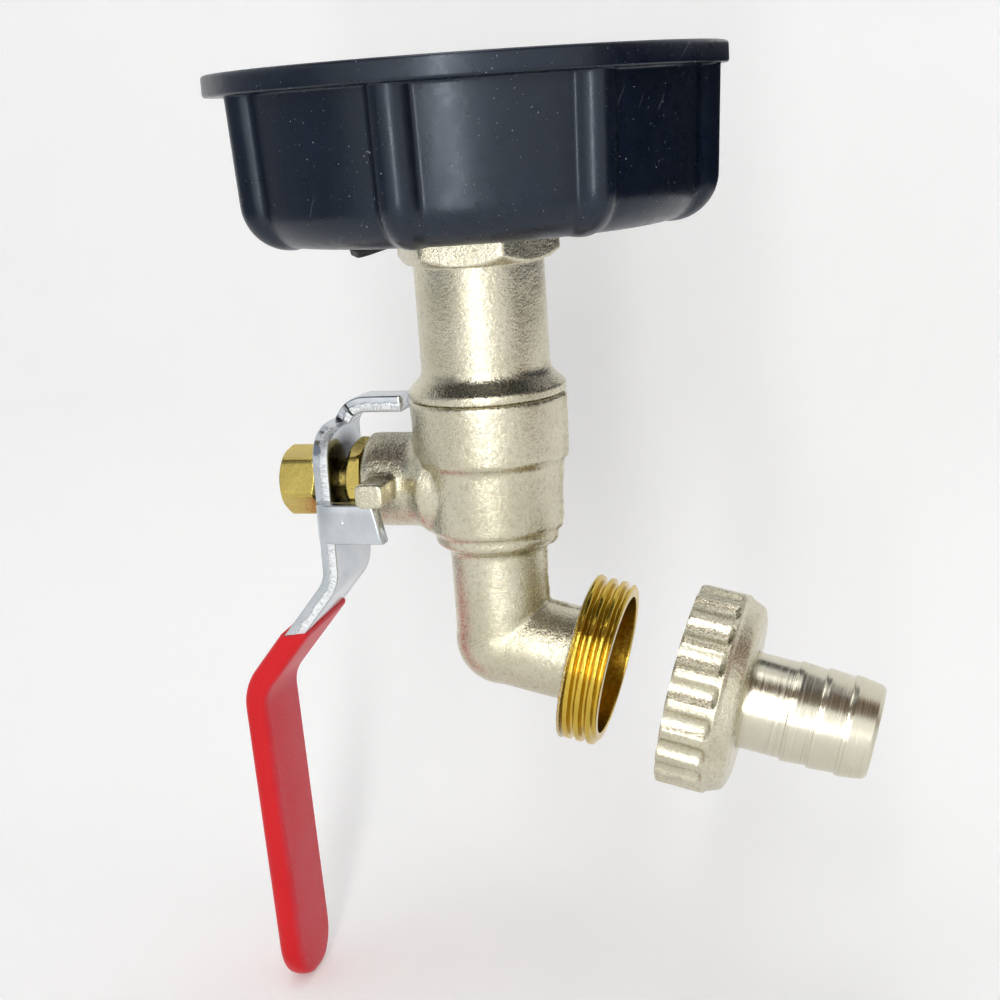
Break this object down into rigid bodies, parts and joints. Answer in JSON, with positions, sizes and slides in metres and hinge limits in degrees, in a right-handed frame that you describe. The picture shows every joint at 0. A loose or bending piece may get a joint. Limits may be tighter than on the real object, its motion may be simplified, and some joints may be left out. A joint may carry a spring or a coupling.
{
  "type": "tank valve on a screw cap",
  "caption": "Screw cap for a tank's coarse-threaded spout with a brass lever ball valve, an angled threaded outlet and a detached barbed hose union.",
  "frame": {"origin": "centre of the cap's mouth, in the plane of its rim", "axes": "+Z along the cap's axis, out of the mouth towards the tank; the valve hangs to -Z, the stem points to -X and the outlet towards +X"},
  "size_m": [0.1024, 0.0766, 0.1506],
  "materials": {
    "black_plastic": "moulded, half gloss",
    "black_rubber": "matt",
    "brass": "turned",
    "nylon": "matt",
    "nickel_plate": "cast brass, blasted and nickel plated",
    "turned_nickel": "turned brass, nickel plated",
    "chrome_plate": "polished",
    "ptfe": "waxy",
    "zinc_steel": "bright zinc plated",
    "red_vinyl": "dip coated, half gloss"
  },
  "bodies": {
    "valve": {"cap_shell": "black_plastic", "cap_gasket": "black_rubber", "inlet_washer": "black_rubber", "backnut": "brass", "backnut_washer": "nylon", "inlet_connector": "nickel_plate", "valve_body": "nickel_plate", "upper_seat": "ptfe", "lower_seat": "ptfe", "thrust_washer": "ptfe", "stem_packing": "ptfe", "gland_nut": "brass"},
    "lever": {"ball": "chrome_plate", "stem": "brass", "lever_arm": "zinc_steel", "lever_grip": "red_vinyl", "lock_washer": "zinc_steel", "lever_nut": "brass"},
    "tail": {"hose_tail": "turned_nickel", "union_gasket": "black_rubber"},
    "nut": {"union_nut": "nickel_plate"}
  },
  "joints": [
    {"name": "lever_turn", "type": "hinge", "parent": "valve", "child": "lever", "pos_m": [0, 0, -0.063], "axis": [1, 0, 0], "range_deg": [0, 90]},
    {"name": "union_slide", "type": "slide", "parent": "valve", "child": "tail", "axis": [0.9715, 0, -0.2368], "range_m": [-0.01595, 0]},
    {"name": "nut_spin", "type": "hinge", "parent": "tail", "child": "nut", "pos_m": [0.02779, 0, -0.09533], "axis": [0.9715, 0, -0.2368], "continuous": true}
  ]
}
